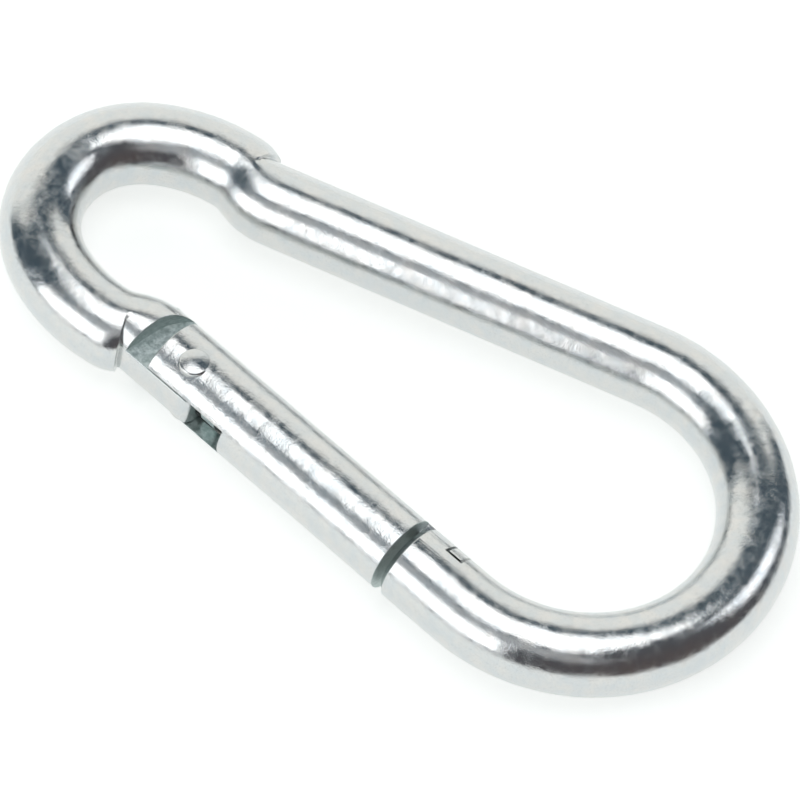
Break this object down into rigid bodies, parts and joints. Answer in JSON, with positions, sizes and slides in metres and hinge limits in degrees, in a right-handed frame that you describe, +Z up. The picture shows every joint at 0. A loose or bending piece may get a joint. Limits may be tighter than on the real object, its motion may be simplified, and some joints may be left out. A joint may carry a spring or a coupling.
{
  "type": "spring snap hook",
  "caption": "Pear-shaped steel spring hook bent from round bar, with a straight sprung gate that opens inwards, a small eye at one end and a wide bow at the other.",
  "frame": {"origin": "under the middle of the bounding box, on the surface that the hook lies on", "axes": "+X along the length from the eye to the wide bow, +Y from the gate to the plain leg, +Z up, square to the hook's plane"},
  "size_m": [0.1, 0.049, 0.0099],
  "materials": {
    "hook_steel": "bright zinc plating, slightly cloudy",
    "gate_steel": "bright zinc plating over rolled sheet, crinkled",
    "rivet_steel": "zinc plating over a peened head",
    "plunger_steel": "plain turned steel",
    "spring_steel": "oiled spring wire"
  },
  "bodies": {
    "hook": {"hook_body": "hook_steel"},
    "gate": {"gate": "gate_steel", "hinge_rivet": "rivet_steel", "gate_spring": "spring_steel"},
    "plunger": {"plunger": "plunger_steel"}
  },
  "joints": [
    {"name": "gate_hinge", "type": "hinge", "parent": "hook", "child": "gate", "pos_m": [-0.01782, -0.01357, 0.00493], "axis": [0, 0, 1], "range_deg": [0, 42], "stiffness_Nm_per_rad": 0.03, "springref_deg": -45.84},
    {"name": "plunger_slide", "type": "slide", "parent": "gate", "child": "plunger", "axis": [0.986, -0.1668, 0], "range_m": [0, 0.0022], "deforming": ["gate_spring"]}
  ],
  "couplings": [
    {"joint": "plunger_slide", "follows": "gate_hinge", "m_per_rad": 0.00297}
  ]
}
